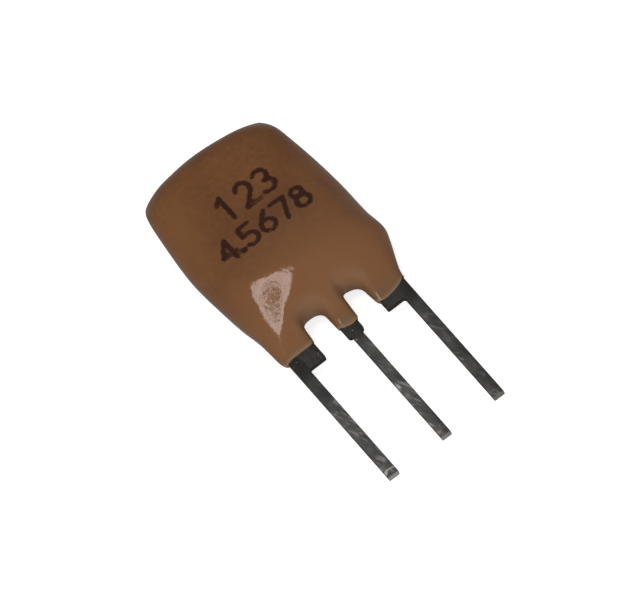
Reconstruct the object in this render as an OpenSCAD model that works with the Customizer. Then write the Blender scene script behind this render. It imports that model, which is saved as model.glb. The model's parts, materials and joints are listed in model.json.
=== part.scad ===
// Three-lead ceramic resonator with built-in load capacitors, dip coated.
// It lies on its flat back: +Z comes out of the front face, +Y runs from the leads to the
// top of the body, and the origin is on the middle lead's centre at the seating plane.
// All sizes are in millimetres.

/* [Leads] */
// Distance between the centres of neighbouring leads
lead_pitch = 2.5; // [2.4:0.05:2.6]
// Thickness of the strip that the leads are stamped from
lead_t = 0.25; // [0.2:0.01:0.28]
// Width of the two outer tails
outer_tail_w = 0.48; // [0.4:0.02:0.54]
// Width of the middle tail
ground_tail_w = 0.44; // [0.4:0.02:0.54]
// Length of the tails below the seating shoulders
tail_length = 5.7; // [3:0.1:12]
// Width of the outer heads, which end in the seating shoulders
outer_head_w = 1.27; // [1.1:0.01:1.3]
// Width of the middle head
ground_head_w = 0.72; // [0.6:0.02:0.76]

/* [Resonator plate] */
// Width of the piezoelectric plate
plate_w = 5.2; // [4.8:0.1:5.4]
// Height of the piezoelectric plate
plate_h = 6.4; // [6:0.1:6.6]
// Thickness of the piezoelectric plate, which sets the frequency
plate_t = 0.35; // [0.25:0.01:0.4]
// Diameter of the round electrodes that face each other through the plate
spot_d = 2.4; // [1.6:0.1:2.8]
// Depth of the two hollows that leave the plate free to vibrate
hollow_depth = 0.22; // [0.1:0.02:0.26]

/* [Load capacitor] */
// Width of the capacitor chip
chip_w = 5; // [4.8:0.1:5.2]
// Height of the capacitor chip
chip_h = 1.9; // [1.6:0.1:2]
// Thickness of the capacitor chip
chip_t = 0.42; // [0.36:0.02:0.46]

/* [Coat] */
// How far the flat back of the coat lies behind the middle of the leads
coat_back = 1.2; // [1.15:0.01:1.3]
// How far the front stands out where it bulges over the capacitor
coat_bulge = 1.46; // [1.4:0.02:1.6]
// How far the front stands out near the top
coat_brow = 0.8; // [0.75:0.05:1]
// How much lower the front is at the sides of its bulge than down its middle
coat_crown = 0.36; // [0.2:0.02:0.4]
// Number of facets round each rounded edge
edge_steps = 5; // [3:1:6]

/* [Hidden] */
$fn = 48;

coat_colour = "sienna";
lead_colour = "dimgray";
silver_colour = "silver";
solder_colour = "lightgray";
plate_colour = "khaki";
chip_colour = "tan";

film_t = 0.02;    // fired silver film
solder_t = 0.05;  // solder between a lead head and a film

// Levels out from the middle of the leads, the same to the chip in front and the plate behind.
lead_face = lead_t / 2;
film_face = lead_face + solder_t;
ceramic_face = film_face + film_t;

// Heights on the body, from the seating plane.
outer_head_h = 4.3;
ground_head_h = 3.6;
chip_y = 2.25;
plate_y = 2.6;
pad_h = 1.7;
pad_w = 1.15;
spot_share = 0.57;   // share of the plate's height below the middle of its spots
spot_y = plate_y + plate_h * spot_share;
strip_w = 0.5;
hollow_margin = 0.4;
hollow_r = spot_d / 2 + hollow_margin;

shoulder_fillet = 0.1;
outer_shoulder_round = 0.06;
ground_shoulder_round = 0.12;

// ---------- the coat's form ----------

// Sides of the coat as [height, x], and its top as [x, height].
left_side = [
    [0.6, -2.87], [1.1, -2.97], [1.7, -3.02], [3.2, -3.23], [4.4, -3.36], [5.8, -3.43],
    [8.7, -3.21], [9.4, -3.1], [9.78, -2.9]
];
right_side = [
    [0.5, 2.79], [1.1, 2.86], [2.2, 3.28], [2.85, 3.48], [3.8, 3.4], [5.5, 3.34],
    [8.5, 3.05], [9.25, 2.94], [9.73, 2.7]
];
top_side = [[-2.9, 9.78], [-1.7, 10.15], [-0.3, 10.27], [1.2, 10.17], [2.7, 9.73]];

// How far the front and the back stand out down the middle, and where between them the
// outline lies, all by height.
front_profile = [
    [0.4, 0.14], [0.9, 0.32], [1.5, 0.69], [2.3, 1.14], [3.2, coat_bulge - 0.03],
    [4, coat_bulge], [5.2, coat_bulge - 0.21], [6.6, coat_brow + 0.14], [8, coat_brow + 0.02],
    [10.3, coat_brow - 0.06]
];
back_profile = [[0.4, 0.14], [0.9, 0.36], [1.5, 0.56], [2.3, 0.96], [3.1, coat_back]];
outline_level = [[1, 0], [3, 0.06], [6, -0.14], [10.3, -0.22]];

// Width over which the coat rounds in from its sides, from its top and from a gap.
side_round = [[0.4, 0.24], [1.2, 0.5], [2.4, 0.95], [4, 1.1], [10.3, 1]];
top_round = 0.95;
gap_round = [[0.4, 0.24], [1, 0.36], [2, 0.8], [3, 0.9]];
edge_wall = 0.015;  // half of the narrow wall left along the outline

// Share of the crown by height, and the distance from the middle at which it is full.
crown_share = [[1, 0.14], [2.2, 0.7], [3.2, 1], [4.5, 0.83], [6.5, 0.28]];
crown_reach = 3;

// Nearly flat three-sided shoulder on the lower left of the bulge: its corners, the level at
// its middle, its rise along X and Y, its slight crown along and across the direction in
// which it leans, and how steeply the coat falls away beyond its left and lower right sides.
shoulder_left = [-2.06, 3.83];
shoulder_right = [-0.4, 2.8];
shoulder_tip = [-2.28, 1.38];
shoulder_middle = [-1.68, 2.72, 1.1];
shoulder_rise = [0.194, 0.268];
shoulder_lean = 53;
shoulder_crown = [0.03, 0.055];
shoulder_drop = 0.12;          // most that the crown takes off
shoulder_falls = [0.22, 0.25];
shoulder_crease = 0.05;
shoulder_foot = [0.3, 1.6];    // heights between which the shoulder fades in

// The two gaps between the tabs, each with its left and right side as [height, x], from the
// ends of the tabs to where its arch springs.
left_gap = [[[0.7, -1.42], [1.36, -1.37]], [[0.4, -0.42], [1.36, -0.45]]];
right_gap = [[[0.4, 0.47], [1.4, 0.53]], [[0.4, 1.38], [1.2, 1.3]]];
gap_rise = 0.48;
arch_power = 2.4;   // 2 is an ellipse, more is squarer
waist_y = 2.6;      // height above which the columns run straight to the top

// Lower ends of the three tabs as [x, height].
tab_ends = [
    [[-2.92, 0.78], [-2.8, 0.6], [-2.6, 0.76], [-1.56, 0.78], [-1.42, 0.88]],
    [[-0.42, 0.64], [-0.25, 0.52], [0.15, 0.42], [0.4, 0.5], [0.47, 0.62]],
    [[1.36, 0.6], [1.5, 0.46], [2, 0.45], [2.45, 0.56], [2.8, 0.76]]
];
lip_t = 0.03;       // coat over the face of a lead at the end of a tab
lip_reach = 0.3;    // height over which a tab swells from its lip

// Smooth curve through a list of stations, worked out at t.
function slope(p, i) =
    let (a = max(i - 1, 0), b = min(i + 1, len(p) - 1))
    (p[b][1] - p[a][1]) / (p[b][0] - p[a][0]);

function span(p, t, i = 0) = i >= len(p) - 2 || t < p[i + 1][0] ? i : span(p, t, i + 1);

function curve(p, t) =
    let (
        i = span(p, t),
        h = p[i + 1][0] - p[i][0],
        s = share((t - p[i][0]) / h),
        rise = s * s * (3 - 2 * s)
    )
    mix(p[i][1], p[i + 1][1], rise)
    + h * s * (1 - s) * (slope(p, i) * (1 - s) - slope(p, i + 1) * s);

function mix(a, b, t) = a + (b - a) * t;

function share(t) = min(max(t, 0), 1);

// Share of the full height that a rounded edge of width r has at a depth d.
function rounded(d, r) = let (s = 1 - share(d / r)) sqrt(1 - s * s);

// Level at which the arch of a gap springs at x, the height of the arch there, and the
// distance of a point from the gap.
function spring(gap, x) =
    let (left = gap[0][1], right = gap[1][1])
    mix(left[0], right[0], share((x - left[1]) / (right[1] - left[1])));

function arch(gap, x) =
    let (left = gap[0][1][1], right = gap[1][1][1])
    spring(gap, x) + gap_rise * pow(
        max(1 - pow(abs(2 * x - left - right) / (right - left), arch_power), 0), 1 / arch_power
    );

function gap_distance(gap, x, y) =
    let (
        left = curve(gap[0], y),
        right = curve(gap[1], y),
        across = abs(2 * x - left - right) / (right - left),
        up = max(y - spring(gap, x), 0) / gap_rise,
        reach = pow(pow(across, arch_power) + pow(up, arch_power), 1 / arch_power)
    )
    reach <= 1 ? 0
    : (reach - 1) * (across * (right - left) / 2 + up * gap_rise) / (across + up);

function swell(x, y) =
    let (r = curve(side_round, y), g = curve(gap_round, y))
    rounded(x - curve(left_side, y), r) * rounded(curve(right_side, y) - x, r)
    * rounded(curve(top_side, x) - y, top_round)
    * rounded(gap_distance(left_gap, x, y), g)
    * rounded(gap_distance(right_gap, x, y), g);

// How far a place is to the left of the line from a to b, eased in at the line.
function beyond(place, a, b) =
    let (
        run = b - a,
        off = (run[0] * (place[1] - a[1]) - run[1] * (place[0] - a[0])) / norm(run)
    )
    abs(off) > shoulder_crease ? max(off, 0)
    : pow(off + shoulder_crease, 2) / (4 * shoulder_crease);

// Height of the plane of the shoulder over a place.
function shoulder_height(place) =
    let (
        run = place - [shoulder_middle[0], shoulder_middle[1]],
        along = run * [cos(shoulder_lean), sin(shoulder_lean)],
        across = run * [sin(shoulder_lean), -cos(shoulder_lean)],
        crown = shoulder_crown * [along * along, across * across]
    )
    shoulder_middle[2] + shoulder_rise * run - min(crown, shoulder_drop)
    - shoulder_falls[0] * beyond(place, shoulder_tip, shoulder_left)
    - shoulder_falls[1] * beyond(place, shoulder_right, shoulder_tip);

// Height z of the front cut down to the shoulder, with a soft crease.
function shouldered(place, z) =
    let (
        flat = shoulder_height(place),
        over = share(0.5 + (flat - z) / (2 * shoulder_crease)),
        low = mix(flat, z, over) - shoulder_crease * over * (1 - over),
        fade = share((place[1] - shoulder_foot[0]) / (shoulder_foot[1] - shoulder_foot[0]))
    )
    mix(z, low, fade * fade * (3 - 2 * fade));

// Front or back point of the coat over the place [x, y], where its tab ends at p[2].
function coat_point(p, front) =
    let (
        place = [p[0], p[1]],
        level = curve(outline_level, p[1]),
        crown = coat_crown * curve(crown_share, p[1]) * pow(p[0] / crown_reach, 2),
        full = front ? curve(front_profile, p[1]) - crown - level : curve(back_profile, p[1]) + level,
        lip = min(lead_face + lip_t, full),
        out = mix(lip, full, rounded(p[1] - p[2], lip_reach)) * swell(p[0], p[1]),
        z = level + (front ? 1 : -1) * max(out, edge_wall)
    )
    [p[0], p[1], front ? shouldered(place, z) : z];

// ---------- the coat's grid ----------

tab_rows = 5;
spring_rows = 8;
body_rows = 20;
gap_columns = 8;
row_crowding = 1.5;  // how much the rows crowd at the ends of the tabs and round the arches
top_band = 0.13;     // share of the way from the waist to the top over which the rows crowd

// Steps from 0 to 1 that crowd towards the rounded edges, over the share a at the start and
// the share b at the end.
function crowded(a, b, middle) = concat(
    [for (i = [0:edge_steps - 1]) a * (1 - cos(90 * i / edge_steps))],
    [for (i = [0:middle]) mix(a, 1 - b, i / middle)],
    [for (i = [edge_steps - 1:-1:0]) 1 - b * (1 - cos(90 * i / edge_steps))]
);

// Columns as [stretch, step across it]: the even stretches are tabs, the odd ones are gaps.
columns = concat(
    [for (s = crowded(0.5, 0.2, 4)) [0, s]],
    [for (i = [1:gap_columns]) [1, (1 - cos(180 * i / (gap_columns + 1))) / 2]],
    [for (s = crowded(0.3, 0.3, 2)) [2, s]],
    [for (i = [1:gap_columns]) [3, (1 - cos(180 * i / (gap_columns + 1))) / 2]],
    [for (s = crowded(0.2, 0.5, 3)) [4, s]]
);
body_steps = concat(
    [for (i = [1:body_rows]) (1 - top_band) * i / body_rows],
    [for (i = [edge_steps - 1:-1:0]) 1 - top_band * (1 - cos(90 * i / edge_steps))]
);
spring_row = tab_rows;
waist_row = spring_row + spring_rows;
top_row = waist_row + len(body_steps);

function is_gap(column) = column[0] % 2 == 1;

// Where a column runs at the height y.
function column_x(column, y) =
    let (stops = [
        curve(left_side, y), curve(left_gap[0], y), curve(left_gap[1], y),
        curve(right_gap[0], y), curve(right_gap[1], y), curve(right_side, y)
    ])
    mix(stops[column[0]], stops[column[0] + 1], column[1]);

// Where a column starts its run up to the waist: on an arch, or level with its springs.
function base_y(column) =
    let (
        x = column_x(column, waist_y),
        left = is_gap(column) ? arch(left_gap, x) : spring(left_gap, x),
        right = is_gap(column) ? arch(right_gap, x) : spring(right_gap, x)
    )
    column[0] < 2 ? left : column[0] > 2 ? right : mix(left, right, column[1]);

function lower_place(column, row) =
    let (
        end = curve(tab_ends[floor(column[0] / 2)], column_x(column, 0.6)),
        y = row < spring_row
            ? mix(end, base_y(column), pow(row / spring_row, row_crowding))
            : mix(base_y(column), waist_y, pow((row - spring_row) / spring_rows, row_crowding))
    )
    [column_x(column, y), y, end];

function upper_place(column, v) =
    let (
        a = curve(left_side, waist_y),
        share = (column_x(column, waist_y) - a) / (curve(right_side, waist_y) - a),
        first = top_side[0],
        last = top_side[len(top_side) - 1],
        left = curve(left_side, mix(waist_y, first[1], v)),
        right = curve(right_side, mix(waist_y, last[1], v)),
        top_y = curve(top_side, mix(first[0], last[0], share))
    )
    [mix(left, right, share), mix(waist_y, top_y, v), 0];

function place(column, row) =
    row <= waist_row ? lower_place(column, row)
    : upper_place(column, body_steps[row - waist_row - 1]);

function is_cell(row, i) =
    row >= 0 && row < top_row && i >= 0 && i < len(columns) - 1
    && (row >= spring_row || !(is_gap(columns[i]) || is_gap(columns[i + 1])));

// Point number i of a row, on the front or on the back.
function at(row, i, front) = (front ? 0 : len(columns) * (top_row + 1)) + row * len(columns) + i;

// The corners of a cell, clockwise as seen from the front, and the cells beside its edges.
function corners(row, i) = [[row, i], [row + 1, i], [row + 1, i + 1], [row, i + 1]];
function beside(row, i) = [[row, i - 1], [row + 1, i], [row, i + 1], [row - 1, i]];

function cell_faces(row, i) =
    let (c = corners(row, i), n = beside(row, i))
    concat(
        [for (t = [[0, 1, 2], [0, 2, 3]]) [for (k = t) at(c[k][0], c[k][1], true)]],
        [for (t = [[2, 1, 0], [3, 2, 0]]) [for (k = t) at(c[k][0], c[k][1], false)]],
        [for (k = [0:3]) let (a = c[k], b = c[(k + 1) % 4])
            if (!is_cell(n[k][0], n[k][1]))
            [at(b[0], b[1], true), at(a[0], a[1], true), at(a[0], a[1], false), at(b[0], b[1], false)]]
    );

module coat_form() {
    places = [for (row = [0:top_row]) for (column = columns) place(column, row)];
    polyhedron(
        points = concat(
            [for (p = places) coat_point(p, true)],
            [for (p = places) coat_point(p, false)]
        ),
        faces = [
            for (row = [0:top_row - 1]) for (i = [0:len(columns) - 2])
            if (is_cell(row, i)) each cell_faces(row, i)
        ]
    );
}

// Low dome that keeps the coat off a round electrode, where wax was before it was cured.
module hollow() {
    dome_r = (hollow_r * hollow_r + hollow_depth * hollow_depth) / (2 * hollow_depth);
    translate([0, spot_y, 0]) intersection() {
        translate([0, 0, hollow_depth - dome_r]) sphere(dome_r);
        cylinder(r = hollow_r + 1, h = hollow_depth + 1);
    }
}

module hollows() {
    translate([0, 0, -ceramic_face]) hollow();
    translate([0, 0, -ceramic_face - plate_t]) mirror([0, 0, 1]) hollow();
}

module epoxy_coat() {
    color(coat_colour) difference() {
        coat_form();
        hollows();
        input_lead();
        ground_lead();
        output_lead();
        resonator_plate();
        input_electrode();
        output_electrode();
        capacitor_chip();
        input_band();
        ground_band();
        output_band();
        input_chip_solder();
        ground_chip_solder();
        output_chip_solder();
        input_plate_solder();
        output_plate_solder();
    }
}

// ---------- leads ----------

// Sliver between a square corner at the origin and the arc that rounds it.
module corner_sliver(r) {
    difference() {
        square(r);
        translate([r, r]) circle(r);
    }
}

// What rounds off the lower right corner of a head.
module shoulder_cut(head_x, r) {
    translate([head_x, 0]) mirror([1, 0]) corner_sliver(r);
}

// Flat outer lead, with its tail on x = 0 and its shoulder to the right.
module outer_lead() {
    tail_x = outer_tail_w / 2;
    linear_extrude(lead_t, center = true) difference() {
        union() {
            translate([-tail_x, 0]) square([outer_head_w, outer_head_h]);
            translate([-tail_x, -tail_length]) square([outer_tail_w, tail_length]);
            translate([tail_x, 0]) mirror([0, 1]) corner_sliver(shoulder_fillet);
        }
        shoulder_cut(outer_head_w - tail_x, outer_shoulder_round);
    }
}

module input_lead() {
    color(lead_colour) translate([-lead_pitch, 0, 0]) outer_lead();
}

module output_lead() {
    color(lead_colour) translate([lead_pitch, 0, 0]) mirror([1, 0, 0]) outer_lead();
}

module ground_lead() {
    color(lead_colour) linear_extrude(lead_t, center = true) difference() {
        union() {
            translate([-ground_head_w / 2, 0]) square([ground_head_w, ground_head_h]);
            translate([-ground_tail_w / 2, -tail_length]) square([ground_tail_w, tail_length]);
        }
        for (side = [0, 1]) mirror([side, 0]) shoulder_cut(ground_head_w / 2, ground_shoulder_round);
    }
}

// ---------- resonator plate and its electrodes ----------

// Levels of the plate's two faces.
plate_front = -ceramic_face;
plate_rear = -ceramic_face - plate_t;
pad_x = plate_w / 2 - pad_w;

module resonator_plate() {
    color(plate_colour) translate([-plate_w / 2, plate_y, plate_rear])
        cube([plate_w, plate_h, plate_t]);
}

// Round spot with a strip down to a pad in the lower right corner of the plate.
module electrode_film() {
    rise = [-pad_x - pad_w / 2, spot_y - plate_y - pad_h + strip_w];
    linear_extrude(film_t) {
        translate([0, spot_y]) circle(d = spot_d);
        translate([pad_x, plate_y]) square([pad_w, pad_h]);
        translate([pad_x + pad_w / 2, plate_y + pad_h - strip_w])
            rotate(atan2(rise[1], rise[0])) translate([0, -strip_w / 2])
            square([norm(rise), strip_w]);
    }
}

module input_electrode() {
    color(silver_colour) translate([0, 0, plate_front]) mirror([1, 0, 0]) electrode_film();
}

module output_electrode() {
    color(silver_colour) {
        translate([0, 0, plate_rear]) mirror([0, 0, 1]) electrode_film();
        translate([pad_x, plate_y - film_t, plate_rear - film_t])
            cube([pad_w, film_t, plate_t + 2 * film_t]);
        translate([pad_x, plate_y, plate_front]) cube([pad_w, pad_h, film_t]);
    }
}

// ---------- capacitor chip and its films ----------

band_w = 1.85;
common_w = 4.4;
common_h = 1.5;
common_tab_w = 0.9;

module capacitor_chip() {
    color(chip_colour) translate([-chip_w / 2, chip_y, ceramic_face])
        cube([chip_w, chip_h, chip_t]);
}

module input_band() {
    color(silver_colour) translate([-chip_w / 2, chip_y, film_face])
        cube([band_w, chip_h, film_t]);
}

module output_band() {
    color(silver_colour) translate([chip_w / 2 - band_w, chip_y, film_face])
        cube([band_w, chip_h, film_t]);
}

// Common film over the front of the chip, with a tab round its lower edge to the back.
module ground_band() {
    color(silver_colour) {
        translate([-common_w / 2, chip_y + chip_h - common_h, ceramic_face + chip_t])
            cube([common_w, common_h, film_t]);
        translate([-common_tab_w / 2, chip_y, ceramic_face + chip_t])
            cube([common_tab_w, chip_h, film_t]);
        translate([-common_tab_w / 2, chip_y - film_t, film_face])
            cube([common_tab_w, film_t, chip_t + 2 * film_t]);
        translate([-common_tab_w / 2, chip_y, film_face])
            cube([common_tab_w, ground_head_h - chip_y, film_t]);
    }
}

// ---------- solder ----------

chip_joint = [0.86, 1.3];
ground_joint = [0.56, 1];
plate_joint = [0.9, 1.1];
solder_round = 0.2;
joint_inset = 0.2;  // how far the joints lie in from the inner sides of the outer tails

// Flat joint with rounded corners, centred on the origin and built up from z = 0.
module solder_pad(size) {
    inner = [size[0] - 2 * solder_round, size[1] - 2 * solder_round];
    linear_extrude(solder_t) {
        square([size[0], inner[1]], center = true);
        square([inner[0], size[1]], center = true);
        for (x = [-1, 1], y = [-1, 1])
            translate([x * inner[0] / 2, y * inner[1] / 2]) circle(solder_round);
    }
}

joint_x = lead_pitch - outer_tail_w / 2 - joint_inset;
chip_joint_y = chip_y + chip_h / 2;
ground_joint_y = (chip_y + ground_head_h) / 2;
plate_joint_y = plate_y + pad_h / 2;

module input_chip_solder() {
    color(solder_colour) translate([-joint_x, chip_joint_y, lead_face]) solder_pad(chip_joint);
}

module ground_chip_solder() {
    color(solder_colour) translate([0, ground_joint_y, lead_face]) solder_pad(ground_joint);
}

module output_chip_solder() {
    color(solder_colour) translate([joint_x, chip_joint_y, lead_face]) solder_pad(chip_joint);
}

module input_plate_solder() {
    color(solder_colour) translate([-joint_x, plate_joint_y, -film_face]) solder_pad(plate_joint);
}

module output_plate_solder() {
    color(solder_colour) translate([joint_x, plate_joint_y, -film_face]) solder_pad(plate_joint);
}

epoxy_coat();
input_lead();
ground_lead();
output_lead();
resonator_plate();
input_electrode();
output_electrode();
capacitor_chip();
input_band();
ground_band();
output_band();
input_chip_solder();
ground_chip_solder();
output_chip_solder();
input_plate_solder();
output_plate_solder();
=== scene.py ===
"""Looks of a dip-coated three-lead ceramic resonator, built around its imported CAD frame.

The brown epoxy coat is modelled here as one smooth body with three tabs, the leads are
copies of the stamped CAD leads with their edges rounded, and the sealed inner pieces get
their finishes.
"""

from __future__ import annotations

import json
import logging
import math
from collections.abc import Callable, Iterator
from dataclasses import dataclass
from enum import Enum, IntEnum

import bmesh
import bpy
from mathutils import Matrix, Vector, noise


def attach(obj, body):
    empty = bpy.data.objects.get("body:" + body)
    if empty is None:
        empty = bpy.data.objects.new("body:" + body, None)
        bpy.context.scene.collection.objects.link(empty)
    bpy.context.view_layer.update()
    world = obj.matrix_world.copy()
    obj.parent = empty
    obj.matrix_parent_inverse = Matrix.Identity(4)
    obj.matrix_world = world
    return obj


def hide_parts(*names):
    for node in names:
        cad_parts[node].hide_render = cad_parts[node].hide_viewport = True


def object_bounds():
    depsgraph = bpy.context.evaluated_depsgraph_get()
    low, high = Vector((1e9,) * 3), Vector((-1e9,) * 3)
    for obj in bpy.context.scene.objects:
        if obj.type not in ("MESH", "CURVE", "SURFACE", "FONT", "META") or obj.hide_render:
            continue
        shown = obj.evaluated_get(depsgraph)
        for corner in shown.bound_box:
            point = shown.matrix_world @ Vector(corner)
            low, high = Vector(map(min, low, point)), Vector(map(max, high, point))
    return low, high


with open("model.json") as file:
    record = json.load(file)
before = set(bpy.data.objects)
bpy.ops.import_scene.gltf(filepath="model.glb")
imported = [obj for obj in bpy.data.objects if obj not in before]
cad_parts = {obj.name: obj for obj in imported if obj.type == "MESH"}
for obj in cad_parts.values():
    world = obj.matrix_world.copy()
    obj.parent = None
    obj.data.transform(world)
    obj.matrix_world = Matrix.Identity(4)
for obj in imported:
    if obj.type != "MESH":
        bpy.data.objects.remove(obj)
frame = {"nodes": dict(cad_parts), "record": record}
CAD_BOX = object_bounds()

MM = 0.001
TINY = 1e-9
ROOT = "root"
WHITE = (1.0, 1.0, 1.0)
# Layer of the thin tab-end rims and of the painted light along the arches.
RIM_AND_ARCH_LIGHT_LAYER = "rim"
INK_LAYER = "ink_distance"
log = logging.getLogger("resonator")

Node = bpy.types.Node
Socket = bpy.types.NodeSocket
Colour = tuple[float, float, float]
Point = tuple[float, float, float]
Station = tuple[float, float]
Band = tuple[float, float]
Run = tuple[Station, ...]


class Lead(Enum):
    """The three leads, by the name of their CAD node."""

    INPUT = "input_lead"
    GROUND = "ground_lead"
    OUTPUT = "output_lead"


class Stretch(IntEnum):
    """Stretches of the coat's lower edge, from left to right."""

    LEFT_TAB = 0
    LEFT_GAP = 1
    MIDDLE_TAB = 2
    RIGHT_GAP = 3
    RIGHT_TAB = 4


GAPS = (Stretch.LEFT_GAP, Stretch.RIGHT_GAP)
Column = tuple[Stretch, float]


# ---------- helpers ----------


def mix(a: float, b: float, t: float) -> float:
    """Value a share t of the way from a to b."""
    return a + (b - a) * t


def clamp(t: float) -> float:
    """Value t kept between 0 and 1."""
    return min(max(t, 0.0), 1.0)


def smooth(t: float) -> float:
    """Share from 0 to 1 that starts and ends level."""
    t = clamp(t)
    return t * t * (3 - 2 * t)


def rounded(depth: float, width: float) -> float:
    """Share of the full height that a rounded edge of a width has at a depth inside it."""
    s = 1 - clamp(depth / width)
    return math.sqrt(1 - s * s)


def linear(red: int, green: int, blue: int) -> Colour:
    """Linear colour of a display colour.

    Args:
        red: Red from 0 to 255.
        green: Green from 0 to 255.
        blue: Blue from 0 to 255.

    Returns:
        The three linear values.
    """

    def one(value: int) -> float:
        """Linear value of one channel."""
        share = value / 255
        return share / 12.92 if share <= 0.04045 else ((share + 0.055) / 1.055) ** 2.4

    return one(red), one(green), one(blue)


class Curve:
    """Smooth curve through a few stations."""

    def __init__(self, *stations: Station) -> None:
        """Takes stations in rising order of their first value."""
        self.stations = stations

    def slope(self, i: int) -> float:
        """Slope of the curve at a station.

        Args:
            i: Number of the station.

        Returns:
            The slope of the line between its neighbours.
        """
        a, b = max(i - 1, 0), min(i + 1, len(self.stations) - 1)
        (t0, v0), (t1, v1) = self.stations[a], self.stations[b]
        return (v1 - v0) / (t1 - t0)

    def __call__(self, t: float) -> float:
        """Value of the curve.

        Args:
            t: Where to read it.

        Returns:
            The value, which stays level past the ends of the curve.
        """
        i = 0
        while i < len(self.stations) - 2 and t >= self.stations[i + 1][0]:
            i += 1
        (t0, v0), (t1, v1) = self.stations[i], self.stations[i + 1]
        s = clamp((t - t0) / (t1 - t0))
        bend = (t1 - t0) * s * (1 - s) * (self.slope(i) * (1 - s) - self.slope(i + 1) * s)
        return mix(v0, v1, smooth(s)) + bend


def piece_from(bm: bmesh.types.BMesh, name: str) -> bpy.types.Object:
    """Smooth-shaded object of a finished mesh, which is then freed.

    Args:
        bm: The mesh, in metres, in its place.
        name: Name of the piece.

    Returns:
        The new object.
    """
    for face in bm.faces:
        face.smooth = True
    mesh = bpy.data.meshes.new(name)
    bm.to_mesh(mesh)
    bm.free()
    piece = bpy.data.objects.new(name, mesh)
    bpy.context.scene.collection.objects.link(piece)
    return piece


def smooth_surface(piece: bpy.types.Object, levels: int) -> None:
    """Adds a subdivision surface.

    Args:
        piece: The piece to smooth.
        levels: Number of its levels, the same in view and in render.
    """
    modifier = piece.modifiers.new("smooth", "SUBSURF")
    modifier.levels = levels
    modifier.render_levels = levels


# ---------- shader building ----------


@dataclass(frozen=True)
class Pattern:
    """Noise pattern: its fineness per millimetre, its detail and the values a mask keeps."""

    scale: float
    detail: float
    band: Band = (0.3, 0.7)


class Network:
    """Builds nodes in one node tree and joins them up."""

    def __init__(self, tree: bpy.types.NodeTree) -> None:
        """Works in the given tree."""
        self.tree = tree

    def add(self, kind: str, inputs: dict | None = None, **settings: object) -> Node:
        """Adds a node.

        Args:
            kind: Blender's name for the kind of node.
            inputs: What each input takes: a socket to link, or a plain value.
            **settings: Properties of the node itself.

        Returns:
            The new node.
        """
        node = self.tree.nodes.new(kind)
        for name, value in settings.items():
            setattr(node, name, value)
        for key, value in (inputs or {}).items():
            self.feed(node.inputs[key], value)
        return node

    def feed(self, socket: Socket, value: object) -> None:
        """Gives an input what it takes.

        Args:
            socket: The input.
            value: Another socket to link it to, or its plain value.
        """
        if isinstance(value, Socket):
            self.tree.links.new(value, socket)
        elif socket.type == "RGBA":
            socket.default_value = (*value, 1)
        else:
            socket.default_value = value

    def maths(self, operation: str, *values: object) -> Socket:
        """Result of a Math node on up to three values."""
        return self.add("ShaderNodeMath", dict(enumerate(values)), operation=operation).outputs[0]

    def vector(self, operation: str, *values: object) -> Node:
        """Vector Math node on its values."""
        return self.add("ShaderNodeVectorMath", dict(enumerate(values)), operation=operation)

    def stretch(self, point: Socket, by: Point) -> Socket:
        """Point multiplied by a factor on each axis."""
        return self.vector("MULTIPLY", point, by).outputs["Vector"]

    def millimetres(self) -> Socket:
        """The piece's own coordinates, in millimetres."""
        inputs = {0: self.add("ShaderNodeTexCoord").outputs["Object"], "Scale": 1 / MM}
        return self.add("ShaderNodeVectorMath", inputs, operation="SCALE").outputs["Vector"]

    def layer(self, name: str) -> Socket:
        """Value of one of the mesh's own layers."""
        return self.add("ShaderNodeAttribute", attribute_name=name).outputs["Fac"]

    def blend(self, factor: object, a: object, b: object) -> Socket:
        """Colour mixed from a to b by a factor."""
        inputs = {"Factor": factor, "A": a, "B": b}
        return self.add("ShaderNodeMix", inputs, data_type="RGBA").outputs["Result"]

    def remap(self, value: object, band: Band, to: Band = (0.0, 1.0)) -> Socket:
        """Brings a value smoothly from one range to another.

        Args:
            value: The value.
            band: Both ends of its range, of which the first may be the higher.
            to: What it becomes at each end and past it.

        Returns:
            The new value.
        """
        ends = zip(("From Min", "From Max", "To Min", "To Max"), (*band, *to))
        inputs = {"Value": value, **dict(ends)}
        node = self.add("ShaderNodeMapRange", inputs, interpolation_type="SMOOTHSTEP")
        return node.outputs["Result"]

    def noise(self, point: Socket, pattern: Pattern) -> Socket:
        """Noise of a pattern over a point, from 0 to 1."""
        inputs = {"Vector": point, "Scale": pattern.scale, "Detail": pattern.detail}
        return self.add("ShaderNodeTexNoise", inputs).outputs["Fac"]

    def mask(self, point: Socket, pattern: Pattern, to: Band = (0.0, 1.0)) -> Socket:
        """Noise of a pattern, whose band is brought smoothly to another range."""
        return self.remap(self.noise(point, pattern), pattern.band, to)

    def sway(self, point: Socket, pattern: Pattern, reach: float) -> Socket:
        """Noise of a pattern that swings to both sides of zero, as far as the reach."""
        return self.maths("MULTIPLY_ADD", self.noise(point, pattern), 2 * reach, -reach)

    def bump(self, height: object, depth: float, strength: float) -> Socket:
        """Normal of a relief whose full height stands for a depth in millimetres."""
        inputs = {"Height": height, "Strength": strength, "Distance": depth * MM}
        return self.add("ShaderNodeBump", inputs).outputs["Normal"]


def shader_group(
    name: str,
    inputs: dict[str, str],
    outputs: dict[str, str],
    wire: Callable[[Network, Node, Node], None],
) -> bpy.types.NodeTree:
    """Node group, built once and then found by its name.

    Args:
        name: Name of the group.
        inputs: Names of its inputs, each with the kind of its socket.
        outputs: Names of its outputs, each with the kind of its socket.
        wire: Fills the group, from its network, its input node and its output node.

    Returns:
        The group's tree.
    """
    if name in bpy.data.node_groups:
        return bpy.data.node_groups[name]
    tree = bpy.data.node_groups.new(name, "ShaderNodeTree")
    for way, sockets in (("INPUT", inputs), ("OUTPUT", outputs)):
        for label, kind in sockets.items():
            tree.interface.new_socket(name=label, in_out=way, socket_type=kind)
    net = Network(tree)
    wire(net, net.add("NodeGroupInput"), net.add("NodeGroupOutput"))
    return tree


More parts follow.
